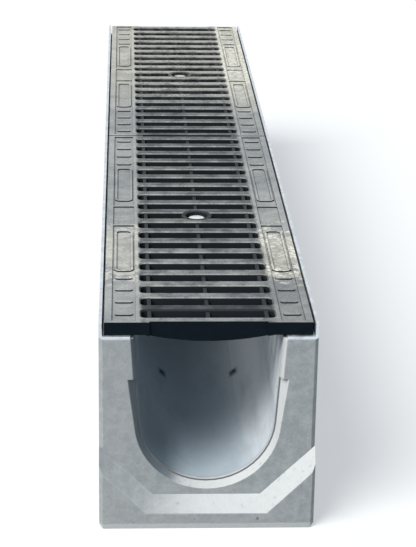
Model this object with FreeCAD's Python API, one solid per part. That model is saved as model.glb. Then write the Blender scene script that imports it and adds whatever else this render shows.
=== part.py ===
import FreeCAD, Part
import math
import os

# Channel drain: a concrete trough with steel edge rails and two bolted iron gratings.
# Millimetres. X runs across the channel, Y along it and Z up.
# The origin is the middle of the base, halfway along the laying length.
# The front end, at -Y, has the tongue, and the rear end has the recess that takes one.

# Trough body
laying_length = 1000.0
body_width = 160.0
body_height = 147.5
floor_thickness = 32.0
trough_radius = 50.0
mouth_width = 109.0
base_chamfer = 3.0
arris_chamfer = 2.5

# Tongue and recess of the two ends
tongue_length = 10.0
tongue_root_height = 23.5
tongue_root_flat = 80.0
tongue_bevel = 11.5
tongue_clearance = 1.0

# Sealing groove round the trough at both ends
groove_top = 116.0
groove_mouth_width = 118.0
groove_radius = 54.0
groove_depth = 8.0
groove_shoulder = 1.5
lead_in_width = 2.5
lead_in_depth = 4.0

# Edge rails
rail_thickness = 2.5
rail_bend_radius = 1.0
rail_setback = 2.5
anchor_count = 5
anchor_spacing = 200.0
anchor_width = 20.0
anchor_depth = 28.0
anchor_cover = 5.0

# Gratings
grating_thickness = 10.0
grating_side_gap = 1.5
grating_end_gap = 3.0
grating_joint_gap = 2.0
belly_width = 96.0
belly_depth = 15.5
slot_count = 19
bar_width = 10.3
slot_length = 98.0
slot_corner_cut = 4.0
web_thickness = 3.0
web_spacing = 43.0
middle_web_drop = 2.0
outer_web_drop = 0.8
end_relief = 2.0

# Tread pattern on the grating borders
tread_depth = 1.2
tread_margin = 4.0
rim_width = 5.5
rib_slots = (1, 2, 3, 4)
rib_length = 13.0
rib_width = 5.0
panel_slots = (5, 8)
panel_width = 15.0
panel_line = 2.0
panel_corner_cut = 5.0
divider_slot = 9
divider_width = 3.0

# Bolted fixing
bolt_diameter = 8.0
bolt_length = 35.0
head_across_flats = 13.0
head_height = 5.3
nut_height = 6.5
hexagon_chamfer_flat = 12.4
hexagon_chamfer_angle = 30.0
washer_diameter = 16.0
washer_thickness = 1.6
washer_bore = 8.4
bolt_hole = 9.0
boss_diameter = 26.0
boss_height = 22.0
counterbore_diameter = 19.0
counterbore_depth = 9.0
bar_thickness = 6.0
bar_breadth = 28.0
pocket_roof_drop = 12.5
pocket_height = 14.0
pocket_depth = 10.0
pocket_side_gap = 3.0
pocket_end_gap = 1.5

# How far cutting shapes run past what they cut, and how closely faces are sewn
overrun = 5.0
sewing_tolerance = 1e-6

# Values that follow from the ones above
half_length = laying_length / 2
half_width = body_width / 2
mouth_half = mouth_width / 2
arc_centre_z = floor_thickness + trough_radius
seat_z = body_height + rail_thickness
top_z = seat_z + grating_thickness
grating_length = (laying_length - 2 * grating_end_gap - grating_joint_gap) / 2
grating_middle = (grating_joint_gap + grating_length) / 2
grating_half_width = half_width - rail_thickness - grating_side_gap
slot_pitch = (grating_length - bar_width) / slot_count
slot_width = slot_pitch - bar_width
bolt_slot = (slot_count + 1) / 2
bolt_seat_z = top_z - counterbore_depth + washer_thickness
pocket_roof_z = body_height - pocket_roof_drop


def box(x_range, y_range, z_range):
    """A block between two limits on each axis."""
    size = [high - low for low, high in (x_range, y_range, z_range)]
    corner = FreeCAD.Vector(x_range[0], y_range[0], z_range[0])
    return Part.makeBox(size[0], size[1], size[2], corner)


def cylinder(diameter, z_low, z_high, y_middle):
    """An upright round bar on the channel's centre line."""
    foot = FreeCAD.Vector(0, y_middle, z_low)
    return Part.makeCylinder(diameter / 2, z_high - z_low, foot)


def hexagon(across_flats, z_low, z_high, y_middle, free_end):
    """An upright hexagonal bar whose corners are turned off at its free end, 1 for up or -1 for down."""
    reach = across_flats / math.sqrt(3)
    points = []
    for corner in range(7):
        angle = math.radians(60 * corner)
        points.append(FreeCAD.Vector(reach * math.cos(angle), y_middle + reach * math.sin(angle), z_low))
    bar = Part.Face(Part.makePolygon(points)).extrude(FreeCAD.Vector(0, 0, z_high - z_low))
    slope = math.tan(math.radians(hexagon_chamfer_angle))
    length = z_high - z_low
    end_radius = hexagon_chamfer_flat / 2
    foot = FreeCAD.Vector(0, y_middle, z_low if free_end > 0 else z_high)
    axis = FreeCAD.Vector(0, 0, free_end)
    return bar.common(Part.makeCone(end_radius + length / slope, end_radius, length, foot, axis))


def section_wire(points, y):
    """A closed outline across the channel from (x, z) points."""
    corners = [FreeCAD.Vector(x, y, z) for x, z in points]
    return Part.makePolygon(corners + corners[:1])


def prism(points, y_low, y_high):
    """An outline across the channel, drawn out along it."""
    return Part.Face(section_wire(points, y_low)).extrude(FreeCAD.Vector(0, y_high - y_low, 0))


def tangent_angle(radius, edge_half, edge_z):
    """How far below the arc's widest level the wall through the edge point leaves it."""
    rise = edge_z - arc_centre_z
    return math.acos(radius / math.hypot(edge_half, rise)) - math.atan2(rise, edge_half)


def wall_half_width(radius, edge_half, edge_z, z):
    """Half the clear width at a level on the straight, drafted part of the walls."""
    return edge_half + (z - edge_z) * math.tan(tangent_angle(radius, edge_half, edge_z))


def trough_wire(radius, edge_half, edge_z, top, y):
    """Round-bottomed outline whose straight walls pass through the edge points."""
    angle = tangent_angle(radius, edge_half, edge_z)
    foot_x = radius * math.cos(angle)
    foot_z = arc_centre_z - radius * math.sin(angle)
    top_x = wall_half_width(radius, edge_half, edge_z, top)
    left_top = FreeCAD.Vector(-top_x, y, top)
    left_foot = FreeCAD.Vector(-foot_x, y, foot_z)
    bottom = FreeCAD.Vector(0, y, arc_centre_z - radius)
    right_foot = FreeCAD.Vector(foot_x, y, foot_z)
    right_top = FreeCAD.Vector(top_x, y, top)
    edges = [
        Part.LineSegment(left_top, left_foot).toShape(),
        Part.Arc(left_foot, bottom, right_foot).toShape(),
        Part.LineSegment(right_foot, right_top).toShape(),
        Part.LineSegment(right_top, left_top).toShape(),
    ]
    return Part.Wire(edges)


def frustum(near_points, near_y, far_points, far_y):
    """A solid with flat faces between two outlines that have matching corners."""
    near = [FreeCAD.Vector(x, near_y, z) for x, z in near_points]
    far = [FreeCAD.Vector(x, far_y, z) for x, z in far_points]
    faces = [Part.Face(Part.makePolygon(ring + ring[:1])) for ring in (near, far)]
    for index in range(len(near)):
        after = (index + 1) % len(near)
        ring = [near[index], near[after], far[after], far[index], near[index]]
        faces.append(Part.Face(Part.makePolygon(ring)))
    solid = Part.Solid(Part.Shell(faces))
    solid.fixTolerance(sewing_tolerance)
    if solid.Volume < 0:
        solid.reverse()
    return solid


def end_outline(flat_height, flat_width, reach):
    """The low, raised-shoulder outline of the tongue or the recess."""
    flat_half = flat_width / 2
    shoulder = flat_height + reach - flat_half
    return [(-reach, 0), (reach, 0), (reach, shoulder), (flat_half, flat_height),
            (-flat_half, flat_height), (-reach, shoulder)]


def tongue(root_y, grow, reach):
    """The lower part of the end, which stands forward behind a sloping band."""
    tip_height = tongue_root_height - tongue_bevel
    half_turn = math.radians(45) / 2
    tip_flat = tongue_root_flat + 2 * tongue_bevel * math.tan(half_turn)
    tip = end_outline(tip_height + grow, tip_flat, reach)
    root = end_outline(tongue_root_height + grow, tongue_root_flat, reach)
    return frustum(tip, root_y - tongue_length, root, root_y)


def end_groove(face_y, inward):
    """Sealing groove with a sloping outer side, and the lead-in above it."""
    floor_y = face_y + inward * groove_depth
    outer = trough_wire(groove_radius, groove_mouth_width / 2, groove_top, groove_top, face_y)
    inner_radius = trough_radius + groove_shoulder
    inner_half = wall_half_width(trough_radius, mouth_half, body_height, groove_top) + groove_shoulder
    inner = trough_wire(inner_radius, inner_half, groove_top, groove_top, floor_y)
    groove = Part.makeLoft([outer, inner], True, True)
    low_half = wall_half_width(trough_radius, mouth_half, body_height, groove_top)
    near = [(-low_half - lead_in_width, groove_top), (low_half + lead_in_width, groove_top),
            (mouth_half + lead_in_width, body_height), (-mouth_half - lead_in_width, body_height)]
    far = [(-low_half, groove_top), (low_half, groove_top),
           (mouth_half, body_height), (-mouth_half, body_height)]
    lead_in = frustum(near, face_y, far, face_y + inward * lead_in_depth)
    return groove, lead_in


def arris(x_side, y):
    """Three-sided bar that takes the sharp edge off an upright corner."""
    side = math.copysign(half_width, x_side)
    inward_x = -math.copysign(arris_chamfer, x_side)
    inward_y = -math.copysign(arris_chamfer, y)
    points = [(side, y), (side + inward_x, y), (side, y + inward_y), (side, y)]
    face = Part.Face(Part.makePolygon([FreeCAD.Vector(px, py, 0) for px, py in points]))
    return face.extrude(FreeCAD.Vector(0, 0, body_height))


def bar_pocket(y_middle):
    """Pair of pockets in the walls that hold the ends of a locking bar."""
    reach = wall_half_width(trough_radius, mouth_half, body_height, pocket_roof_z) + pocket_depth
    half_breadth = bar_breadth / 2 + pocket_side_gap
    y_range = (y_middle - half_breadth, y_middle + half_breadth)
    return box((-reach, reach), y_range, (pocket_roof_z - pocket_height, pocket_roof_z))


def channel_body(rails):
    """Cast trough with its tongue, recess, sealing grooves and bar pockets."""
    outline = [(-half_width + base_chamfer, 0), (half_width - base_chamfer, 0),
               (half_width, base_chamfer), (half_width, body_height),
               (-half_width, body_height), (-half_width, base_chamfer)]
    body = prism(outline, -half_length, half_length)
    spigot = tongue(-half_length, 0, half_width + overrun)
    spigot = spigot.common(prism(outline, -half_length - tongue_length, -half_length))
    cutters = [arris(x_side, y) for x_side in (-1, 1) for y in (-half_length, half_length)]
    spigot = spigot.cut([arris(x_side, -half_length - tongue_length) for x_side in (-1, 1)])
    body = body.cut(cutters).fuse(spigot)
    recess_below = box((-half_width - overrun, half_width + overrun),
                       (half_length - tongue_length, half_length + overrun), (-overrun, 0))
    recess = tongue(half_length, tongue_clearance, half_width + overrun).fuse(recess_below)
    start_y = -half_length - overrun
    mouth = trough_wire(trough_radius, mouth_half, body_height, body_height + overrun, start_y)
    trough = Part.Face(mouth).extrude(FreeCAD.Vector(0, -2 * start_y, 0))
    body = body.cut([recess, trough])
    for face_y, inward in ((-half_length, 1), (half_length, -1)):
        body = body.cut(list(end_groove(face_y, inward)))
    body = body.cut([bar_pocket(-grating_middle), bar_pocket(grating_middle)])
    return body.cut(rails).removeSplitter()


def edge_rail(side):
    """Angle bent from sheet, with anchors that run down into the concrete."""
    inner_x = mouth_half + rail_setback
    outer_radius = rail_bend_radius + rail_thickness
    leg_inner = half_width - rail_thickness
    turn = math.sqrt(0.5)
    inner_corner = FreeCAD.Vector(leg_inner - rail_bend_radius, 0, seat_z + rail_bend_radius)

    def point(x, z):
        return FreeCAD.Vector(side * x, -half_length, z)

    def bend(radius):
        ends = [(0, -1), (turn, -turn), (1, 0)]
        return [point(inner_corner.x + radius * x, inner_corner.z + radius * z) for x, z in ends]

    outer = bend(outer_radius)
    inner = bend(rail_bend_radius)
    edges = [
        Part.LineSegment(point(inner_x, body_height), outer[0]).toShape(),
        Part.Arc(outer[0], outer[1], outer[2]).toShape(),
        Part.LineSegment(outer[2], point(half_width, top_z)).toShape(),
        Part.LineSegment(point(half_width, top_z), point(leg_inner, top_z)).toShape(),
        Part.LineSegment(point(leg_inner, top_z), inner[2]).toShape(),
        Part.Arc(inner[2], inner[1], inner[0]).toShape(),
        Part.LineSegment(inner[0], point(inner_x, seat_z)).toShape(),
        Part.LineSegment(point(inner_x, seat_z), point(inner_x, body_height)).toShape(),
    ]
    rail = Part.Face(Part.Wire(edges)).extrude(FreeCAD.Vector(0, laying_length, 0))
    anchor_x = (inner_x + half_width) / 2
    foot_z = body_height - anchor_depth
    for index in range(anchor_count):
        middle = (index - (anchor_count - 1) / 2) * anchor_spacing
        y_range = (middle - anchor_width / 2, middle + anchor_width / 2)
        x_tab = sorted([side * (anchor_x - rail_thickness), side * anchor_x])
        x_foot = sorted([side * (anchor_x - rail_thickness), side * (half_width - anchor_cover)])
        tab = box(x_tab, y_range, (foot_z, body_height))
        foot = box(x_foot, y_range, (foot_z, foot_z + rail_thickness))
        rail = rail.fuse([tab, foot])
    return rail.removeSplitter()


def slot_y(y_middle, number):
    """Middle of a slot, counted from 1 at the end of the grating nearer -Y."""
    return y_middle + (number - bolt_slot) * slot_pitch


def cornered_plate(x_middle, y_middle, half_x, half_y, cut, z_range):
    """An upright block whose four corners are cut off on the slant."""
    side = [(half_x - cut, -half_y), (half_x, cut - half_y), (half_x, half_y - cut), (half_x - cut, half_y)]
    outline = side + [(-x, -y) for x, y in side]
    points = [FreeCAD.Vector(x_middle + x, y_middle + y, z_range[0]) for x, y in outline]
    face = Part.Face(Part.makePolygon(points + points[:1]))
    return face.extrude(FreeCAD.Vector(0, 0, z_range[1] - z_range[0]))


def slot_cutters(y_middle):
    """The slots: openings between three webs, and a shallow sink above each web."""
    low_z = top_z - belly_depth - overrun
    cutters = []
    for number in range(1, slot_count + 1):
        middle = slot_y(y_middle, number)
        y_range = (middle - slot_width / 2, middle + slot_width / 2)
        z_range = (low_z, top_z + overrun)
        slot = cornered_plate(0, middle, slot_length / 2, slot_width / 2, slot_corner_cut, z_range)
        webs = []
        for side in (-1, 0, 1):
            web_x = side * web_spacing
            web_z = top_z - (outer_web_drop if side else middle_web_drop)
            x_range = (web_x - web_thickness / 2, web_x + web_thickness / 2)
            webs.append(box(x_range, y_range, (low_z, web_z)))
        cutters.append(slot.cut(webs))
    return cutters


def tread_field(side, y_range, rib_places, panel_range):
    """Sunk field on a border, with its ribs and its bare panel left standing."""
    z_range = (top_z - tread_depth, top_z + overrun)
    inner = slot_length / 2 + tread_margin
    outer = grating_half_width - rim_width
    centre = (inner + outer) / 2
    field = box(sorted([side * inner, side * outer]), y_range, z_range)
    standing = []
    for rib_y in rib_places:
        x_range = sorted([side * (centre - rib_length / 2), side * (centre + rib_length / 2)])
        standing.append(box(x_range, (rib_y - rib_width / 2, rib_y + rib_width / 2), z_range))
    if panel_range:
        low, high = panel_range
        middle = (low + high) / 2
        half_x = panel_width / 2
        half_y = (high - low) / 2
        inner_cut = panel_corner_cut - panel_line * (2 - math.sqrt(2))
        frame = cornered_plate(side * centre, middle, half_x, half_y, panel_corner_cut, z_range)
        inside = cornered_plate(side * centre, middle, half_x - panel_line, half_y - panel_line,
                                inner_cut, z_range)
        standing.append(frame.cut(inside))
    if standing:
        field = field.cut(standing)
    return field


def tread_cutters(y_middle):
    """Three fields on each border: two long ones and a short one beside the bolt."""
    cutters = []
    half = grating_length / 2 - tread_margin
    divider = abs(divider_slot - bolt_slot) * slot_pitch
    land = divider_width / 2
    for side in (-1, 1):
        beside_bolt = (y_middle - divider + land, y_middle + divider - land)
        cutters.append(tread_field(side, beside_bolt, [], None))
        for end in (-1, 1):
            limits = sorted([y_middle + end * half, y_middle + end * (divider + land)])
            ribs = []
            for number in rib_slots:
                ribs.append(y_middle + end * (bolt_slot - number) * slot_pitch)
            near = bolt_slot - panel_slots[0] + 0.5
            far = bolt_slot - panel_slots[1] - 0.5
            panel = sorted([y_middle + end * near * slot_pitch, y_middle + end * far * slot_pitch])
            panel = (panel[0] + panel_line, panel[1] - panel_line)
            cutters.append(tread_field(side, limits, ribs, panel))
    return cutters


def grating(y_middle):
    """Slotted casting with thin borders, a deeper middle and a boss for its bolt."""
    y_low = y_middle - grating_length / 2
    belly_half = belly_width / 2
    corners = [(-belly_half, seat_z), (-grating_half_width, seat_z), (-grating_half_width, top_z),
               (grating_half_width, top_z), (grating_half_width, seat_z), (belly_half, seat_z)]
    points = [FreeCAD.Vector(x, y_low, z) for x, z in corners]
    bottom = FreeCAD.Vector(0, y_low, top_z - belly_depth)
    edges = [Part.LineSegment(start, end).toShape() for start, end in zip(points, points[1:])]
    edges.append(Part.Arc(points[-1], bottom, points[0]).toShape())
    plate = Part.Face(Part.Wire(edges)).extrude(FreeCAD.Vector(0, grating_length, 0))
    relief = []
    for end in (-1, 1):
        end_y = y_middle + end * grating_length / 2
        y_range = sorted([end_y - end * end_relief, end_y + end * overrun])
        relief.append(box((-web_spacing, web_spacing), y_range, (0, top_z + overrun)))
    plate = plate.cut(slot_cutters(y_middle) + tread_cutters(y_middle) + relief)
    plate = plate.fuse(cylinder(boss_diameter, top_z - boss_height, top_z, y_middle))
    sink = cylinder(counterbore_diameter, top_z - counterbore_depth, top_z + overrun, y_middle)
    hole = cylinder(bolt_hole, top_z - boss_height - overrun, top_z, y_middle)
    return plate.cut([sink, hole]).removeSplitter()


def locking_bar(y_middle):
    """Flat bar under the grating, drawn up against the roofs of its pockets."""
    reach = wall_half_width(trough_radius, mouth_half, body_height, pocket_roof_z)
    reach = reach + pocket_depth - pocket_end_gap
    y_range = (y_middle - bar_breadth / 2, y_middle + bar_breadth / 2)
    bar = box((-reach, reach), y_range, (pocket_roof_z - bar_thickness, pocket_roof_z))
    return bar.cut(cylinder(bolt_hole, 0, top_z, y_middle))


def bolt(y_middle):
    """Hexagon head and a plain shank."""
    head = hexagon(head_across_flats, bolt_seat_z, bolt_seat_z + head_height, y_middle, 1)
    shank = cylinder(bolt_diameter, bolt_seat_z - bolt_length, bolt_seat_z, y_middle)
    return head.fuse(shank)


def washer(y_middle):
    """Flat ring under the bolt head."""
    ring = cylinder(washer_diameter, bolt_seat_z - washer_thickness, bolt_seat_z, y_middle)
    return ring.cut(cylinder(washer_bore, 0, top_z, y_middle))


def nut(y_middle):
    """Hexagon nut drawn up against the underside of the locking bar."""
    nut_top = pocket_roof_z - bar_thickness
    body = hexagon(head_across_flats, nut_top - nut_height, nut_top, y_middle, -1)
    return body.cut(cylinder(bolt_diameter, 0, top_z, y_middle))


def main():
    os.makedirs("parts", exist_ok=True)
    rails = {"edge_rail_left": edge_rail(-1), "edge_rail_right": edge_rail(1)}
    pieces = {"channel_body": channel_body(list(rails.values()))}
    pieces.update(rails)
    for place, y_middle in (("front", -grating_middle), ("rear", grating_middle)):
        pieces["grating_" + place] = grating(y_middle)
        pieces["locking_bar_" + place] = locking_bar(y_middle)
        pieces["bolt_" + place] = bolt(y_middle)
        pieces["washer_" + place] = washer(y_middle)
        pieces["nut_" + place] = nut(y_middle)
    for name, shape in pieces.items():
        shape.exportStep("parts/" + name + ".step")


main()
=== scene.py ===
import math

import bmesh
import bpy
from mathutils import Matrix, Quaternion, Vector


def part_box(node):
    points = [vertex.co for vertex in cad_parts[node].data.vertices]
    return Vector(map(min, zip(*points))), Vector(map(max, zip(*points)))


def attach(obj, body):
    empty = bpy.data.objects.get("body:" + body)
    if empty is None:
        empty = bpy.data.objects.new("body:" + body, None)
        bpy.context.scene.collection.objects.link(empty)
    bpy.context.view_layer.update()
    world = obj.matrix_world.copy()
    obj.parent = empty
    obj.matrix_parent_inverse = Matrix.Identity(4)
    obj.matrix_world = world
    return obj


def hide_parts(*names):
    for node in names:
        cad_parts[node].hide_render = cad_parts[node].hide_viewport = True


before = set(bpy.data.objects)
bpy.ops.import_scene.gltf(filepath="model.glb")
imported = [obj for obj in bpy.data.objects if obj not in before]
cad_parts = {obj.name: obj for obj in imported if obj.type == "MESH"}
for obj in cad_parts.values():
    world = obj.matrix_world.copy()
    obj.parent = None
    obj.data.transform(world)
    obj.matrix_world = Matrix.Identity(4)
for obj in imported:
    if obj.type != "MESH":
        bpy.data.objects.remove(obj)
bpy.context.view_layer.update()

# Channel drain: a concrete trough with steel edge rails and two bolted iron gratings.
# Metres, in the frame of the model: X across the channel, Y along it and Z up.
mm = 0.001
top_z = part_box("edge_rail_left")[1].z
front_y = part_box("channel_body")[0].y
joint_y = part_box("edge_rail_left")[0].y

# Gratings
slot_count = 19
bar_width = 10.3 * mm
slot_length = 98 * mm
slot_corner = 3.5 * mm
slot_draft = 0.9 * mm
slot_lip = 1.1 * mm
belly_half = 48 * mm
belly_depth = 15.5 * mm
border_thickness = 10 * mm
web_spacing = 43 * mm
web_width = 3 * mm
middle_web_drop = 2.0 * mm
outer_web_drop = 0.8 * mm
end_relief = 2 * mm
tread_depth = 1.2 * mm
tread_margin = 4 * mm
rim_width = 5.5 * mm
rib_count = 4
rib_length = 13 * mm
rib_width = 5 * mm
rib_corner = 1.8 * mm
panel_slots = 4
panel_from_middle = 3.5
panel_width = 15 * mm
panel_line = 2 * mm
panel_corner = 5 * mm
divider_width = 3 * mm
boss_radius = 13 * mm
boss_height = 22 * mm
counterbore_radius = 9.5 * mm
counterbore_depth = 9 * mm
bolt_hole_radius = 4.5 * mm
bolt_y = 249 * mm
cast_radius = 0.35 * mm

# Bolts and nuts
across_flats = 13 * mm
chamfer_flat = 12.4 * mm
chamfer_angle = 30
head_height = 5.3 * mm
thread_radius = 4 * mm
thread_pitch = 1.25 * mm
thread_depth = 0.68 * mm
thread_samples = 6
shank_lead_in = 1.2 * mm

# Two marks of the mould in the round bottom of the trough
waterway_radius = 50 * mm
waterway_centre_z = 82 * mm
mark_angle = math.radians(36.5)
mark_x = math.sin(mark_angle) * waterway_radius
mark_y = -312 * mm
mark_z = waterway_centre_z - math.cos(mark_angle) * waterway_radius
mark_width = 5.5 * mm
mark_length = 9 * mm
mark_depth = 2 * mm
mark_roundness = 0.45

# Edges of the other pieces
arris_radius = 0.6 * mm
sheet_radius = 0.35 * mm
washer_radius = 0.2 * mm

# How the meshes are cleaned, rounded and shaded
merge_distance = 0.002 * mm
cut_distance = 0.001 * mm
seal_distance = 0.01 * mm
flat_angle = math.radians(0.5)
narrow_angle = math.radians(40)
sharp_angle = math.radians(32)
fixing_sharp_angle = math.radians(25)

# The camera, worked out from the picture in its own pixels
picture_height = 547
picture_focal = 564
enlargement = 3.25
camera_place = Vector((-0.061, -1.729, 0.646))
camera_aim = Vector((0, -0.468, 0.187))
camera_roll = math.radians(0.93)
sensor = 36.0

# Light
sun_direction = Vector((-0.50, -0.46, 0.73))
sun_share = 1.08
sun_spread = math.radians(38)
sky_share = 0.40
floor_reach = 30.0
floor_glow = 0.45


class Field:
    """The value of one socket. Arithmetic on it adds Math nodes."""

    def __init__(self, tree, node, output):
        self.tree = tree
        self.node = node
        self.socket = node.outputs[output]

    def other(self, output):
        return Field(self.tree, self.node, output)

    def math(self, operation, *values):
        return self.tree.node("ShaderNodeMath", {"operation": operation}, dict(enumerate(values)))

    def __add__(self, value):
        return self.math("ADD", self, value)

    def __radd__(self, value):
        return self.math("ADD", value, self)

    def __sub__(self, value):
        return self.math("SUBTRACT", self, value)

    def __rsub__(self, value):
        return self.math("SUBTRACT", value, self)

    def __mul__(self, value):
        return self.math("MULTIPLY", self, value)

    def __rmul__(self, value):
        return self.math("MULTIPLY", value, self)

    def __truediv__(self, value):
        return self.math("DIVIDE", self, value)

    def __abs__(self):
        return self.math("ABSOLUTE", self)

    def at_most(self, value):
        return self.math("MINIMUM", self, value)

    def at_least(self, value):
        return self.math("MAXIMUM", self, value)

    def step(self, low, high):
        """0 below one value, 1 above the other, and smooth between them."""
        settings = {"interpolation_type": "SMOOTHSTEP"}
        sockets = {"Value": self, "From Min": low, "From Max": high}
        return self.tree.node("ShaderNodeMapRange", settings, sockets)

    def near(self, middle, inner, outer):
        """1 within one distance of a value, 0 beyond the other."""
        return 1 - abs(self - middle).step(inner, outer)


class Tree:
    """A node tree, to which one method adds every node."""

    def __init__(self, nodes_of):
        self.nodes = nodes_of.nodes
        self.links = nodes_of.links

    def node(self, kind, settings=None, sockets=None, output=0):
        """Adds a node: its settings first, then the values or links of its sockets."""
        made = self.nodes.new(kind)
        for name, value in (settings or {}).items():
            setattr(made, name, value)
        for name, value in (sockets or {}).items():
            for single in value if isinstance(value, list) else [value]:
                if isinstance(single, Field):
                    self.links.new(single.socket, made.inputs[name])
                else:
                    made.inputs[name].default_value = single
        return Field(self, made, output) if made.outputs else made

    def split(self, vector):
        x = self.node("ShaderNodeSeparateXYZ", None, {"Vector": vector})
        return x, x.other("Y"), x.other("Z")


class Finish(Tree):
    """A material, made from the object coordinates of the piece that wears it."""

    def __init__(self, name):
        self.material = bpy.data.materials.new(name)
        self.material.use_nodes = True
        super().__init__(self.material.node_tree)
        self.nodes.clear()
        self.place = self.node("ShaderNodeTexCoord", output="Object")

    def noise(self, size, detail=3, rough=0.55, place=None, warp=0.0):
        """Cloudy noise from 0 to 1 whose lumps are about as large as size."""
        sockets = {"Vector": place or self.place, "Scale": 1 / size, "Detail": detail,
                   "Roughness": rough, "Distortion": warp}
        return self.node("ShaderNodeTexNoise", None, sockets, "Fac")

    def cells(self, size):
        """Random cells about as wide as size: the distance from their middles and two values for each."""
        sockets = {"Vector": self.place, "Scale": 1 / size}
        middle = self.node("ShaderNodeTexVoronoi", None, sockets, "Distance")
        red = self.node("ShaderNodeSeparateColor", None, {"Color": middle.other("Color")})
        return middle, red, red.other("Green")

    def stretched(self, x, y, z):
        return self.node("ShaderNodeMapping", None, {"Vector": self.place, "Scale": (x, y, z)})

    def mix(self, share, first, second):
        """Mixes two colours, which are the node's inputs 6 and 7. The result is its output 2."""
        ends = [value if isinstance(value, Field) else (*value, 1) for value in (first, second)]
        sockets = {"Factor": share, 6: ends[0], 7: ends[1]}
        return self.node("ShaderNodeMix", {"data_type": "RGBA"}, sockets, 2)

    def bump(self, height, depth, strength):
        sockets = {"Height": height, "Distance": depth, "Strength": strength}
        return self.node("ShaderNodeBump", None, sockets)

    def surface(self, color, roughness, normal, metallic=0.0, gloss=0.5):
        """Ends the material in one shader."""
        sockets = {"Base Color": color, "Roughness": roughness, "Normal": normal,
                   "Metallic": metallic, "Specular IOR Level": gloss}
        return self.output(self.node("ShaderNodeBsdfPrincipled", None, sockets))

    def output(self, shader):
        self.node("ShaderNodeOutputMaterial", None, {"Surface": shader})
        return self.material


class Pattern(Tree):
    """A Geometry Nodes tree with named inputs, which makes what repeats on a piece."""

    def __init__(self, name):
        self.group = bpy.data.node_groups.new(name, "GeometryNodeTree")
        super().__init__(self.group)
        self.values = {}
        self.group.interface.new_socket("Geometry", in_out="INPUT", socket_type="NodeSocketGeometry")
        self.entry = self.nodes.new("NodeGroupInput")
        self.base = Field(self, self.entry, "Geometry")

    def size(self, name, value):
        """A named input, with the value that this object has."""
        kind = {int: "Int", float: "Float"}.get(type(value), "Material")
        socket = self.group.interface.new_socket(name, in_out="INPUT", socket_type="NodeSocket" + kind)
        self.values[socket.identifier] = value
        return Field(self, self.entry, name)

    def vector(self, x=0.0, y=0.0, z=0.0):
        return self.node("ShaderNodeCombineXYZ", None, {"X": x, "Y": y, "Z": z})

    def flat(self, outline):
        return self.node("GeometryNodeFillCurve", {"mode": "NGONS"}, {"Curve": outline})

    def flipped(self, face):
        return self.node("GeometryNodeFlipFaces", None, {"Mesh": face})

    def drawn(self, face, height):
        """A face drawn out towards the side that it faces, open where it was."""
        return self.node("GeometryNodeExtrudeMesh", None, {"Mesh": face, "Offset Scale": height})

    def sealed(self, *skins):
        """One closed skin, from open ones whose rims meet."""
        sockets = {"Geometry": self.join(*skins), "Distance": seal_distance}
        return self.node("GeometryNodeMergeByDistance", None, sockets)

    def closed(self, outline, height):
        """A solid from a flat outline drawn upwards."""
        face = self.flat(outline)
        return self.sealed(self.drawn(face, height), self.flipped(face))

    def spread(self, walls, width, length, radius, distance):
        """Moves the far end of a drawn out rounded outline outwards, alike on all sides."""
        x, y, z = self.split(self.node("GeometryNodeInputPosition"))
        moved = []
        for value, size in ((x, width), (y, length)):
            straight = size / 2 - radius
            inner = value.at_most(straight).at_least(straight * -1)
            moved.append(value + (value - inner) * (distance / radius))
        sockets = {"Geometry": walls, "Selection": walls.other("Top"), "Position": self.vector(*moved, z)}
        return self.node("GeometryNodeSetPosition", None, sockets)

    def rounded(self, width, length, radius, segments=6):
        sockets = {"Width": width, "Height": length}
        outline = self.node("GeometryNodeCurvePrimitiveQuadrilateral", None, sockets)
        sockets = {"Curve": outline, "Count": segments, "Radius": radius}
        return self.node("GeometryNodeFilletCurve", {"mode": "POLY"}, sockets)

    def move(self, geometry, x=0.0, y=0.0, z=0.0, turn=(0, 0, 0)):
        sockets = {"Geometry": geometry, "Translation": self.vector(x, y, z), "Rotation": turn}
        return self.node("GeometryNodeTransform", None, sockets)

    def row(self, item, count, start, step):
        """Copies of an item, set out in a straight row."""
        sockets = {"Count": count, "Start Location": start, "Offset": step}
        line = self.node("GeometryNodeMeshLine", None, sockets)
        copies = self.node("GeometryNodeInstanceOnPoints", None, {"Points": line, "Instance": item})
        return self.node("GeometryNodeRealizeInstances", None, {"Geometry": copies})

    def block(self, x, y, z):
        return self.node("GeometryNodeMeshCube", None, {"Size": self.vector(x, y, z)})

    def disc(self, radius, height, corners=48, rings=1):
        sockets = {"Vertices": corners, "Radius": radius, "Depth": height, "Side Segments": rings}
        return self.node("GeometryNodeMeshCylinder", None, sockets)

    def join(self, *items):
        return self.node("GeometryNodeJoinGeometry", None, {"Geometry": list(items)})

    def boolean(self, operation, sockets):
        return self.node("GeometryNodeMeshBoolean", {"operation": operation, "solver": "MANIFOLD"}, sockets)

    def cut(self, solid, *tools):
        return self.boolean("DIFFERENCE", {"Mesh 1": solid, "Mesh 2": list(tools)})

    def fuse(self, *solids):
        return self.boolean("UNION", {"Mesh 2": list(solids)})

    def common(self, *solids):
        return self.boolean("INTERSECT", {"Mesh 2": list(solids)})

    def put_on(self, piece, geometry, material):
        """Ends the tree in plain geometry that wears a material, and makes it the piece's mesh."""
        cover = self.size("Material", material)
        plain = self.node("GeometryNodeRealizeInstances", None, {"Geometry": geometry})
        dressed = self.node("GeometryNodeSetMaterial", None, {"Geometry": plain, "Material": cover})
        self.group.interface.new_socket("Geometry", in_out="OUTPUT", socket_type="NodeSocketGeometry")
        self.node("NodeGroupOutput", None, {"Geometry": dressed})
        modifier = piece.modifiers.new(self.group.name, "NODES")
        modifier.node_group = self.group
        for identifier, value in self.values.items():
            modifier[identifier] = value
        apply_modifiers(piece)


def new_piece(name, mesh):
    piece = bpy.data.objects.new(name, mesh)
    bpy.context.scene.collection.objects.link(piece)
    return piece


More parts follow.
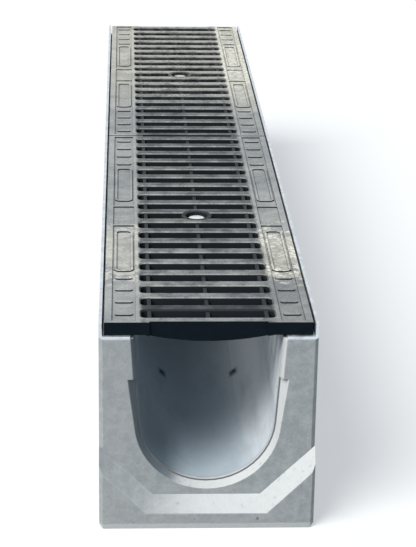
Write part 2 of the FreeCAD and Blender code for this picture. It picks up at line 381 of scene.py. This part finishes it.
def apply_modifiers(piece):
    """Replaces a piece's modifiers by the mesh that they make."""
    graph = bpy.context.evaluated_depsgraph_get()
    result = bpy.data.meshes.new_from_object(piece.evaluated_get(graph))
    piece.modifiers.clear()
    piece.data = result
    result.name = piece.name


def cut_across(shape, items, y):
    """Divides parts of a mesh at a plane across the channel, and gives what now lies on it."""
    cut = bmesh.ops.bisect_plane(shape, geom=items, dist=cut_distance, plane_co=(0, y, 0),
                                 plane_no=(0, 1, 0))
    return cut["geom_cut"]


def clean(mesh, cuts=()):
    """One closed mesh with no slivers, whose flat faces are whole but for cuts straight across it.

    The cuts are given by their y. They pass through the holes, so that no face has one.
    """
    shape = bmesh.new()
    shape.from_mesh(mesh)
    bmesh.ops.triangulate(shape, faces=shape.faces)
    bmesh.ops.remove_doubles(shape, verts=shape.verts, dist=merge_distance)
    bmesh.ops.dissolve_degenerate(shape, edges=shape.edges, dist=merge_distance)
    for y in cuts:
        for item in cut_across(shape, [*shape.verts, *shape.edges, *shape.faces], y):
            if isinstance(item, bmesh.types.BMEdge):
                item.seam = True
    bmesh.ops.dissolve_limit(shape, angle_limit=flat_angle, verts=shape.verts, edges=shape.edges,
                             delimit={"SEAM"})
    shape.to_mesh(mesh)
    shape.free()


def split_faces(mesh, y):
    """Divides the many-sided faces along the channel at a plane across it, where they are notched."""
    shape = bmesh.new()
    shape.from_mesh(mesh)
    chosen = [face for face in shape.faces if len(face.verts) > 4 and abs(face.normal.y) < 0.5]
    rims = dict.fromkeys(item for face in chosen for item in (*face.verts, *face.edges))
    cut_across(shape, [*chosen, *rims], y)
    shape.to_mesh(mesh)
    shape.free()


def narrow_corner(edge, edges):
    """Whether the edge leaves one of its ends at a narrow angle to another of the edges."""
    for vertex in edge.verts:
        ahead = edge.other_vert(vertex).co - vertex.co
        for other in vertex.link_edges:
            if other != edge and other in edges:
                if ahead.angle(other.other_vert(vertex).co - vertex.co) < narrow_angle:
                    return True
    return False


def round_edges(piece, radius):
    """Rounds the outer edges of a piece, except the shortest and those that leave no room for it."""
    shape = bmesh.new()
    shape.from_mesh(piece.data)
    share = shape.edges.layers.float.new("bevel_weight_edge")
    sharp = {edge for edge in shape.edges if edge.calc_face_angle_signed(0.0) > sharp_angle}
    for edge in sharp:
        edge[share] = 0.0 if edge.calc_length() < radius or narrow_corner(edge, sharp) else 1.0
    shape.to_mesh(piece.data)
    shape.free()
    bevel = piece.modifiers.new("soft_edges", "BEVEL")
    bevel.width = radius
    bevel.segments = 2
    bevel.limit_method = "WEIGHT"
    bevel.use_clamp_overlap = False
    apply_modifiers(piece)


def smooth(mesh, angle):
    """Smooth shading that breaks at edges sharper than an angle."""
    mesh.polygons.foreach_set("use_smooth", [True] * len(mesh.polygons))
    mesh.set_sharp_from_angle(angle=angle)


def shade(piece):
    """Smooth shading whose flat faces stay flat."""
    smooth(piece.data, sharp_angle)
    flat = piece.modifiers.new("flat_faces", "WEIGHTED_NORMAL")
    flat.keep_sharp = True
    apply_modifiers(piece)


def stand_for(piece, node):
    """The piece stands where a node of the model was."""
    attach(piece, "root")
    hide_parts(node)


def concrete():
    """Grey cast concrete with fine sand, soft clouds and a few pores, with painted sunlight on what faces up
    and left, and painted light and shade in the trough.
    """
    paint = Finish("cast_concrete")
    x, y, z = paint.split(paint.place)
    lean_x, lean_y, lean_z = paint.split(paint.node("ShaderNodeNewGeometry", output="Normal"))
    clouds = paint.noise(60 * mm, 4, 0.55).step(0.3, 0.72)
    mottle = paint.noise(7 * mm, 5, 0.7).step(0.32, 0.70)
    grain = paint.noise(1.6 * mm, 3, 0.7)
    dark_sand, pale_sand = paint.cells(0.9 * mm)[1:]
    pore_place, pore_size, pore_choice = paint.cells(13 * mm)
    pores = pore_place.math("LESS_THAN", pore_place, pore_size * 0.09) * pore_choice.step(0.62, 0.64)
    outside = 1 - y.step(front_y + 18 * mm, front_y + 22 * mm)
    # Painted sunlight: near the front end, faces that lean up and to the left, toward the sun, are painted
    # pale in small patches.
    patch_mask = (lean_z - lean_x * 0.75).step(0.40, 0.62) * paint.noise(4 * mm, 3, 0.6).step(0.10, 0.45)
    patch_mask = patch_mask * outside * x.step(-77 * mm, -74 * mm)
    recess = y.step(front_y + 10 * mm, front_y + 11 * mm) * abs(x).near(0.0, 59 * mm, 60 * mm)
    shaded = recess * lean_x.step(0.25, 0.7) * (1 - y.step(front_y + 30 * mm, front_y + 160 * mm))
    # Painted shadow: a dark line on the front-facing shoulder behind the groove.
    painted_shoulder_shadow = (lean_y * -1).step(0.8, 0.95) * y.step(front_y + 14 * mm, front_y + 16 * mm)
    inside = y.step(front_y + 19 * mm, front_y + 24 * mm) * abs(x).near(0.0, 55.5 * mm, 56.5 * mm)
    # Painted light: a pale strip along the foot, standing for a lit ledge.
    painted_lit_foot = z.math("LESS_THAN", z / mm + mottle, 4.6) * 0.5
    arris = paint.node("ShaderNodeAttribute", {"attribute_name": "arris"}, output="Fac")
    # Pale arrises in patches: wear, with a painted highlight.
    wear_and_painted_glints = arris * paint.noise(16 * mm, 3, 0.6).step(0.4, 0.7)
    base = paint.mix(clouds, (0.288, 0.315, 0.329), (0.350, 0.366, 0.368))
    base = paint.mix(mottle * 0.62, base, (0.455, 0.467, 0.463))
    base = paint.mix(grain.step(0.45, 0.75) * 0.30, base, (0.25, 0.265, 0.275))
    base = paint.mix(dark_sand.step(0.88, 0.98) * 0.16, base, (0.20, 0.21, 0.23))
    base = paint.mix(pale_sand.step(0.88, 0.98) * 0.20, base, (0.55, 0.55, 0.54))
    # Painted light: inside the trough, the wall that faces left, toward the sun, is painted pale.
    painted_lit_wall = inside * (lean_x * -1).step(0.35, 0.95)
    # Painted skylight: the trough's inside, in shade under the sky, is painted lighter and bluer than the
    # outside.
    base = paint.mix(inside * 0.75, base, (0.42, 0.50, 0.57))
    # Painted light on the wall that faces the sun.
    base = paint.mix(painted_lit_wall * 0.9, base, (0.78, 0.82, 0.85))
    smudges = paint.noise(26 * mm, 4, 0.6, paint.stretched(1.0, 0.30, 1.0)).step(0.46, 0.72)
    base = paint.mix(inside * smudges * 0.30, base, (0.19, 0.235, 0.275))
    # The two mould marks and a little around them are painted darker.
    darkened_marks = y.near(mark_y, 3 * mm, 9 * mm) * abs(x).near(mark_x, 1.6 * mm, 4.6 * mm) * inside
    base = paint.mix(darkened_marks * 0.70, base, (0.10, 0.125, 0.15))
    # Painted sunlight on the faces turned to the sun.
    base = paint.mix(patch_mask * 0.66, base, (0.75, 0.755, 0.75))
    # Pale arrises, worn and with a painted highlight, and painted light along the foot.
    base = paint.mix((wear_and_painted_glints * 0.15).at_least(painted_lit_foot), base, (0.62, 0.62, 0.61))
    # Painted shadow on the shoulder.
    base = paint.mix(painted_shoulder_shadow * 0.75, base, (0.10, 0.11, 0.12))
    base = paint.mix(shaded * 0.75, base, (0.09, 0.125, 0.15))
    base = paint.mix(pores * 0.75, base, (0.12, 0.13, 0.14))
    height = grain * 0.2 + mottle * 0.3 - pores - wear_and_painted_glints * 0.3
    return paint.surface(base, 0.88 - clouds * 0.08, paint.bump(height, 0.5 * mm, 0.6), gloss=0.25)


def galvanised():
    """Hot-dip zinc: flat crystals, a dull bloom and small scratches along the sheet."""
    paint = Finish("galvanised_steel")
    crystals, turned = paint.cells(6 * mm)[1:]
    patch_mask = paint.noise(30 * mm, 4, 0.65).step(0.42, 0.75)
    scratches = paint.noise(1.2 * mm, 2, 0.5, paint.stretched(1.0, 0.02, 1.0)).step(0.6, 0.72)
    base = paint.mix(crystals, (0.52, 0.57, 0.62), (0.68, 0.73, 0.78))
    base = paint.mix(patch_mask * 0.6, base, (0.62, 0.65, 0.67))
    rough = 0.36 + turned * 0.12 + patch_mask * 0.2 + scratches * 0.08
    height = scratches * 0.4 + crystals * 0.6
    return paint.surface(base, rough, paint.bump(height, 0.03 * mm, 0.6), metallic=0.95 - patch_mask * 0.25)


def iron():
    """Black dipped casting with grey dust and a painted sheen on what faces up, painted glints on its bars
    and lips, and sand on its borders and far end.
    """
    paint = Finish("ductile_iron")
    x, y, z = (axis / mm for axis in paint.split(paint.place))
    lean = paint.split(paint.node("ShaderNodeNewGeometry", output="Normal"))[2]
    facing_up = lean.step(0.80, 0.97)
    lip = lean.near(0.71, 0.08, 0.22) * z.step(158.4, 159.2)
    across = abs(x)
    border = across.step(47.0, 51.5)
    level = z.step(159.25, 159.95) * (1 - border) + z.step(156.8, 159.2) * border
    from_bolt = abs(y) - bolt_y / mm
    boss = x.math("POWER", x, 2.0) + from_bolt.math("POWER", from_bolt, 2.0)
    round_bolt = 1 - boss.step(160.0, 215.0)
    patches = paint.noise(42 * mm, 5, 0.62, warp=0.4).step(0.30, 0.70)
    blots = paint.noise(9 * mm, 4, 0.65).step(0.36, 0.64)
    fine = paint.noise(1.7 * mm, 3, 0.75).step(0.20, 0.62)
    speckle = paint.noise(4 * mm, 4, 0.7).step(0.44, 0.58)
    # Patchy wear with painted glints, which brighten the grey on the bars and lips.
    wear_and_painted_glints = paint.noise(15 * mm, 4, 0.7).step(0.36, 0.62)
    front = 1 - y.step(-380.0, -250.0)
    rear = y.step(60.0, 260.0)
    right = x.step(-20.0, 60.0)
    first_bar = y.near(-466.0, 6.0, 9.0)
    bars = 0.28 + front * 0.16 - first_bar * 0.36 + rear * (0.46 + speckle * 0.80) + patches * 0.15
    bars = bars * (0.62 + wear_and_painted_glints * 0.68) * (1 - round_bolt * 0.8)
    borders = 0.80 - right * front * 0.16 + patches * 0.14 + blots * 0.12
    # What faces up is grey: dust, with a painted sheen of the sky, as the coat itself reflects little.
    dust_and_sheen = facing_up * level * (bars * (1 - border) + borders * border)
    # Bright lips on the bars: dust with a painted highlight.
    lips = lip * (0.55 + wear_and_painted_glints * 0.40 - rear * 0.20) * (1 - first_bar)
    webs = facing_up * z.near(158.6, 0.7, 0.9) * 0.07
    dust_and_sheen = dust_and_sheen.at_least(lips.at_least(webs) * (1 - border) * (1 - round_bolt))
    dust_and_sheen = dust_and_sheen * (0.62 + fine * 0.38)
    washed = (0.06 + rear * blots * 0.24) * (1 - facing_up) * lean.step(-0.3, 0.2) * z.step(146.0, 158.0)
    washed = washed * y.step(-494.0, -486.0)
    panel = (y + (blots - 0.5) * 50.0).near(-342.0, 38.0, 66.0) * (0.70 + right * 0.50)
    sandy = (panel.at_least(rear * (0.42 + right * 0.95)) * (0.55 + patches * 0.60) * border).at_most(1.0)
    coat = paint.mix(paint.noise(12 * mm), (0.003, 0.007, 0.011), (0.007, 0.011, 0.016))
    powder = paint.mix(patches, (0.375, 0.385, 0.385), (0.460, 0.460, 0.440))
    powder = paint.mix(rear * 0.6, powder, (0.46, 0.43, 0.37))
    powder = paint.mix(sandy, powder, (0.92, 0.88, 0.76))
    powder = paint.mix((1 - speckle) * sandy * 0.45, powder, (0.36, 0.34, 0.30))
    dust_and_sheen = dust_and_sheen.at_least(sandy * facing_up * level * (0.55 + speckle * 0.45)).at_most(1.0)
    base = paint.mix(dust_and_sheen.at_least(washed), coat, powder)
    casting = paint.noise(1.1 * mm, 3, 0.7) * 0.6 + paint.noise(5 * mm, 2, 0.5) * 0.4
    return paint.surface(base, 0.55 + dust_and_sheen * 0.35, paint.bump(casting, 0.22 * mm, 0.6), gloss=0.04)


def bright_steel():
    """Bright fixings with fine turning marks."""
    paint = Finish("bright_steel")
    marks = paint.noise(0.5 * mm, 2, 0.5, paint.stretched(1.0, 0.15, 1.0))
    stain = paint.noise(5 * mm, 3, 0.6).step(0.45, 0.75)
    base = paint.mix(stain * 0.3, (0.88, 0.88, 0.87), (0.72, 0.71, 0.69))
    rough = 0.26 + marks * 0.10 + stain * 0.10
    return paint.surface(base, rough, paint.bump(marks, 0.02 * mm, 0.5), metallic=0.6)


def drawn_out(name, outline, y_low, y_high):
    """A solid from an outline of (x, z) points, drawn out along the channel."""
    mesh = bpy.data.meshes.new(name)
    shape = bmesh.new()
    face = shape.faces.new([shape.verts.new((x, y_low, z)) for x, z in outline])
    sides = bmesh.ops.extrude_face_region(shape, geom=[face])
    moved = [item for item in sides["geom"] if isinstance(item, bmesh.types.BMVert)]
    bmesh.ops.translate(shape, vec=(0, y_high - y_low, 0), verts=moved)
    bmesh.ops.recalc_face_normals(shape, faces=shape.faces)
    shape.to_mesh(mesh)
    shape.free()
    return mesh


def grating_outline(half):
    """The section of the casting before it is slotted: thin borders and a deeper middle."""
    seat = top_z - border_thickness
    sagitta = belly_depth - border_thickness
    arc_radius = (belly_half ** 2 + sagitta ** 2) / (2 * sagitta)
    arc_reach = math.asin(belly_half / arc_radius)
    centre_z = top_z - belly_depth + arc_radius
    outline = [(-half, seat), (-half, top_z), (half, top_z), (half, seat)]
    steps = 24
    for step in range(steps + 1):
        angle = arc_reach * (1 - 2 * step / steps)
        outline.append((arc_radius * math.sin(angle), centre_z - arc_radius * math.cos(angle)))
    return outline


def tread_fields(tree, half_x, length, middle, pitch):
    """What is sunk into the two borders between the rims, around the ribs and panels that stay."""
    sink = tree.size("Tread depth", tread_depth)
    land = tree.size("Tread margin", tread_margin)
    rim = tree.size("Rim width", rim_width)
    over = 5 * mm
    inner = tree.size("Slot half length", slot_length / 2) + land
    outer = half_x - rim
    centre = (inner + outer) / 2
    divider = pitch + divider_width / 2
    long_end = length / 2 - land
    long_field = tree.block(outer - inner, long_end - divider, over)
    short_field = tree.block(outer - inner, (pitch - divider_width / 2) * 2, over)
    rib = tree.closed(tree.rounded(rib_length, rib_width, rib_corner, 3), over * 2)
    panel_length = pitch * panel_slots - 2 * panel_line
    panel = tree.closed(tree.rounded(panel_width, panel_length, panel_corner), over * 2)
    inside_width = panel_width - 2 * panel_line
    inside = tree.rounded(inside_width, panel_length - 2 * panel_line, panel_corner - panel_line)
    panel = tree.cut(panel, tree.move(tree.closed(inside, over * 4), z=-over))
    field_z = top_z - sink + over / 2
    foot_z = top_z - over
    fields = []
    for side in (-1.0, 1.0):
        x = centre * side
        fields.append(tree.move(short_field, x, middle, field_z))
        for end in (-1.0, 1.0):
            field = tree.move(long_field, x, (long_end + divider) / 2 * end + middle, field_z)
            outermost = tree.vector(x, pitch * (slot_count // 2 * end) + middle, foot_z)
            ribs = tree.row(rib, rib_count, outermost, tree.vector(0.0, pitch * -end, 0.0))
            frame_line = tree.move(panel, x, pitch * (panel_from_middle * end) + middle, foot_z)
            fields.append(tree.cut(field, ribs, frame_line))
    return fields


def slot_row(tree, length, middle, bar, pitch):
    """The slots with their draft and worn lips, and the webs that stay in them."""
    reach = tree.size("Slot length", slot_length)
    corner = tree.size("Slot corner radius", slot_corner)
    draft = tree.size("Slot draft", slot_draft)
    lip = tree.size("Slot lip", slot_lip)
    webs = tree.size("Web spacing", web_spacing)
    web = tree.size("Web width", web_width)
    outer_drop = tree.size("Outer web drop", outer_web_drop)
    middle_drop = tree.size("Middle web drop", middle_web_drop)
    through = 40 * mm
    over = 0.5 * mm
    width = pitch - bar
    start = tree.vector(0.0, middle - pitch * (slot_count // 2), 0.0)
    step = tree.vector(0.0, pitch, 0.0)
    neck = tree.flat(tree.rounded(reach, width, corner))
    mouth = tree.spread(tree.drawn(neck, lip + over), reach, width, corner, lip + over)
    throat = tree.spread(tree.drawn(tree.flipped(neck), through), reach, width, corner, draft)
    slot = tree.move(tree.sealed(mouth, throat), z=top_z - lip)
    line = tree.row(slot, tree.size("Slots", slot_count), start, step)
    web_bar = tree.block(web, length * 2.0, through * 2)
    for side, drop in ((-1.0, outer_drop), (0.0, middle_drop), (1.0, outer_drop)):
        line = tree.cut(line, tree.move(web_bar, webs * side, middle, top_z - drop - through))
    return line


def grating(place, material):
    """One slotted casting with its tread, its boss and its bolt's seat."""
    node = "grating_" + place
    low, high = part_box(node)
    piece = new_piece("slotted_" + node, drawn_out(node, grating_outline(high.x), low.y, high.y))
    length = high.y - low.y
    middle = (low.y + high.y) / 2
    through = 80 * mm
    tree = Pattern("slots_" + place)
    bar = tree.size("Bar width", bar_width)
    pitch = (length - bar) / slot_count
    cutters = [slot_row(tree, length, middle, bar, pitch)]
    cutters.extend(tread_fields(tree, high.x, length, middle, pitch))
    relief = tree.block(web_spacing * 2, end_relief * 2, through)
    for end in (-1.0, 1.0):
        cutters.append(tree.move(relief, 0.0, middle + end * length / 2, top_z))
    boss = tree.disc(tree.size("Boss radius", boss_radius), boss_height)
    plate = tree.fuse(tree.cut(tree.base, *cutters), tree.move(boss, 0.0, middle, top_z - boss_height / 2))
    bore = tree.move(tree.disc(counterbore_radius, counterbore_depth * 2), 0.0, middle, top_z)
    hole = tree.move(tree.disc(bolt_hole_radius, through, 32), 0.0, middle, top_z)
    tree.put_on(piece, tree.cut(plate, bore, hole), material)
    slot_pitch = (length - bar_width) / slot_count
    clean(piece.data, [middle + slot_pitch * (number - slot_count // 2) for number in range(slot_count)])
    round_edges(piece, cast_radius)
    shade(piece)
    stand_for(piece, node)


def hexagon(tree, height, both_ends):
    """A hexagonal bar on the Z axis, whose corners are turned off at its upper end or at both."""
    bar = tree.disc(across_flats / math.sqrt(3), height, 6)
    base_radius = chamfer_flat / 2 + height / math.tan(math.radians(chamfer_angle))
    sockets = {"Vertices": 64, "Radius Top": chamfer_flat / 2, "Radius Bottom": base_radius, "Depth": height}
    cone = tree.move(tree.node("GeometryNodeMeshCone", None, sockets), z=-height / 2)
    bar = tree.common(bar, cone)
    return tree.common(bar, tree.move(cone, turn=(math.pi, 0, 0))) if both_ends else bar


def threaded(tree, length):
    """A threaded bar on the Z axis, from z = 0 down, with a turned lead-in at its lower end."""
    radius = tree.size("Thread radius", thread_radius)
    pitch = tree.size("Thread pitch", thread_pitch)
    depth = tree.size("Thread depth", thread_depth)
    rings = round(length / thread_pitch * thread_samples)
    bar = tree.move(tree.disc(radius, length, 32, rings), z=-length / 2)
    x, y, z = tree.split(tree.node("GeometryNodeInputPosition"))
    turned = y.math("ARCTAN2", y, x) / (2 * math.pi)
    flank = abs(z.math("FRACT", z / pitch - turned) - 0.5) * 2
    lead_in = ((z + length) / shank_lead_in).at_most(1.0) * depth - depth
    groove = (flank.step(0.1, 0.9) * depth).at_least(lead_in * -1.0)
    share = 1 - groove / radius
    moved = tree.vector(x * share, y * share, z)
    return tree.node("GeometryNodeSetPosition", None, {"Geometry": bar, "Position": moved})


def bolt(place, material):
    """Hexagon bolt with a chamfered head and a real thread."""
    node = "bolt_" + place
    low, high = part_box(node)
    middle = (low.y + high.y) / 2
    seat = high.z - head_height
    piece = new_piece("threaded_" + node, bpy.data.meshes.new(node))
    tree = Pattern("thread_" + place)
    head = tree.move(hexagon(tree, head_height, False), 0.0, middle, seat + head_height / 2)
    shank = tree.move(threaded(tree, seat - low.z), 0.0, middle, seat)
    tree.put_on(piece, tree.join(head, shank), material)
    finish_fixing(piece, node)


def nut(place, material):
    """Hexagon nut that is chamfered at both ends."""
    node = "nut_" + place
    low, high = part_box(node)
    height = high.z - low.z
    middle = (low.y + high.y) / 2
    piece = new_piece("hexagon_" + node, bpy.data.meshes.new(node))
    tree = Pattern("hexagon_" + place)
    bore = tree.disc(tree.size("Bore radius", thread_radius), height * 2, 32)
    body = tree.cut(hexagon(tree, height, True), bore)
    tree.put_on(piece, tree.move(body, 0.0, middle, low.z + height / 2), material)
    finish_fixing(piece, node)


def finish_fixing(piece, node):
    smooth(piece.data, fixing_sharp_angle)
    stand_for(piece, node)


def plain_copy(name, node, material):
    """A piece with a node's own form."""
    piece = new_piece(name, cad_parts[node].data.copy())
    shading = piece.data.attributes.get("custom_normal")
    if shading:
        piece.data.attributes.remove(shading)
    clean(piece.data)
    piece.data.materials.clear()
    piece.data.materials.append(material)
    return piece


def rounded_copy(name, node, material, radius):
    """A piece with a node's own form whose edges are rounded."""
    piece = plain_copy(name, node, material)
    round_edges(piece, radius)
    shade(piece)
    stand_for(piece, node)


def mark_arrises(mesh, radius):
    """Gives the narrow faces along the edges an attribute that the finish reads."""
    marks = []
    for face in mesh.polygons:
        corners = [mesh.vertices[index].co for index in face.vertices]
        shortest = min((corners[i] - corners[i - 1]).length for i in range(len(corners)))
        marks.append(1.0 if len(corners) == 4 and shortest < 2.2 * radius else 0.0)
    mesh.attributes.new("arris", "FLOAT", "FACE").data.foreach_set("value", marks)


def channel(material):
    """The trough, with two shallow marks of the mould in its round bottom near the front."""
    piece = plain_copy("cast_trough", "channel_body", material)
    round_edges(piece, arris_radius)
    mark_arrises(piece.data, arris_radius)
    split_faces(piece.data, joint_y)
    tree = Pattern("mould_marks")
    depth = tree.size("Mark depth", mark_depth)
    width = tree.size("Mark width", mark_width)
    outline = tree.rounded(width, tree.size("Mark length", mark_length), width * mark_roundness)
    pit = tree.move(tree.closed(outline, depth * 2), z=depth * -1)
    pits = []
    for side in (-1, 1):
        pits.append(tree.move(pit, mark_x * side, mark_y, mark_z, (0, -mark_angle * side, 0)))
    tree.put_on(piece, tree.cut(tree.base, *pits), material)
    shade(piece)
    stand_for(piece, "channel_body")


def floor():
    """A pale floor that reads as white to the camera and keeps the shadow."""
    paint = Finish("pale_floor")
    path = paint.node("ShaderNodeLightPath", output="Is Camera Ray")
    seen = path.at_least(path.other("Is Glossy Ray"))
    grey = paint.node("ShaderNodeBsdfDiffuse", None, {"Color": (0.45, 0.45, 0.45, 1)})
    white = paint.node("ShaderNodeBsdfDiffuse", None, {"Color": (0.96, 0.96, 0.96, 1)})
    plain = paint.node("ShaderNodeEmission", None, {"Color": (1, 1, 1, 1), "Strength": 1.0})
    pale = paint.node("ShaderNodeMixShader", None, {0: floor_glow, 1: white, 2: plain})
    paint.output(paint.node("ShaderNodeMixShader", None, {0: seen, 1: grey, 2: pale}))
    mesh = bpy.data.meshes.new("floor")
    signs = [(-1, -1), (1, -1), (1, 1), (-1, 1)]
    mesh.from_pydata([(x * floor_reach, y * floor_reach, 0) for x, y in signs], [], [(0, 1, 2, 3)])
    mesh.materials.append(paint.material)
    new_piece("floor", mesh)


def lights():
    """A broad sun from the upper left, a little in front, and a pale blue sky."""
    sun = bpy.data.lights.new("sun", "SUN")
    sun.energy = sun_share * math.pi
    sun.angle = sun_spread
    sun.color = (1.0, 0.985, 0.955)
    lamp = bpy.data.objects.new("sun", sun)
    lamp.rotation_mode = "QUATERNION"
    lamp.rotation_quaternion = sun_direction.to_track_quat("Z", "Y")
    bpy.context.scene.collection.objects.link(lamp)
    world = bpy.data.worlds.new("sky")
    world.use_nodes = True
    world.node_tree.nodes.clear()
    sky = Tree(world.node_tree)
    path = sky.node("ShaderNodeLightPath", output="Is Camera Ray")
    seen = path.at_least(path.other("Is Glossy Ray")).at_least(path.other("Is Transmission Ray"))
    blue = sky.node("ShaderNodeBackground", None, {"Color": (0.66, 0.83, 1.0, 1), "Strength": sky_share})
    white = sky.node("ShaderNodeBackground", None, {"Color": (1, 1, 1, 1), "Strength": 1.0})
    both = sky.node("ShaderNodeMixShader", None, {0: seen, 1: blue, 2: white})
    sky.node("ShaderNodeOutputWorld", None, {"Surface": both})
    bpy.context.scene.world = world


def camera():
    """Stands where the picture was taken and is turned to the channel."""
    lens = bpy.data.cameras.new("camera")
    lens.sensor_width = sensor
    lens.lens = sensor * picture_focal * enlargement / picture_height
    lens.clip_end = 100
    seen = bpy.data.objects.new("camera", lens)
    seen.location = camera_place
    seen.rotation_mode = "QUATERNION"
    straight = (camera_aim - camera_place).to_track_quat("-Z", "Y")
    seen.rotation_quaternion = straight @ Quaternion((0, 0, 1), camera_roll)
    bpy.context.scene.collection.objects.link(seen)
    bpy.context.scene.camera = seen


camera()
lights()
floor()
zinc = galvanised()
black_iron = iron()
bright = bright_steel()
channel(concrete())
for side in ("left", "right"):
    rounded_copy("bent_rail_" + side, "edge_rail_" + side, zinc, sheet_radius)
for place in ("front", "rear"):
    grating(place, black_iron)
    rounded_copy("flat_bar_" + place, "locking_bar_" + place, zinc, sheet_radius)
    rounded_copy("flat_washer_" + place, "washer_" + place, bright, washer_radius)
    bolt(place, bright)
    nut(place, bright)

bpy.context.scene.view_settings.view_transform = "Standard"
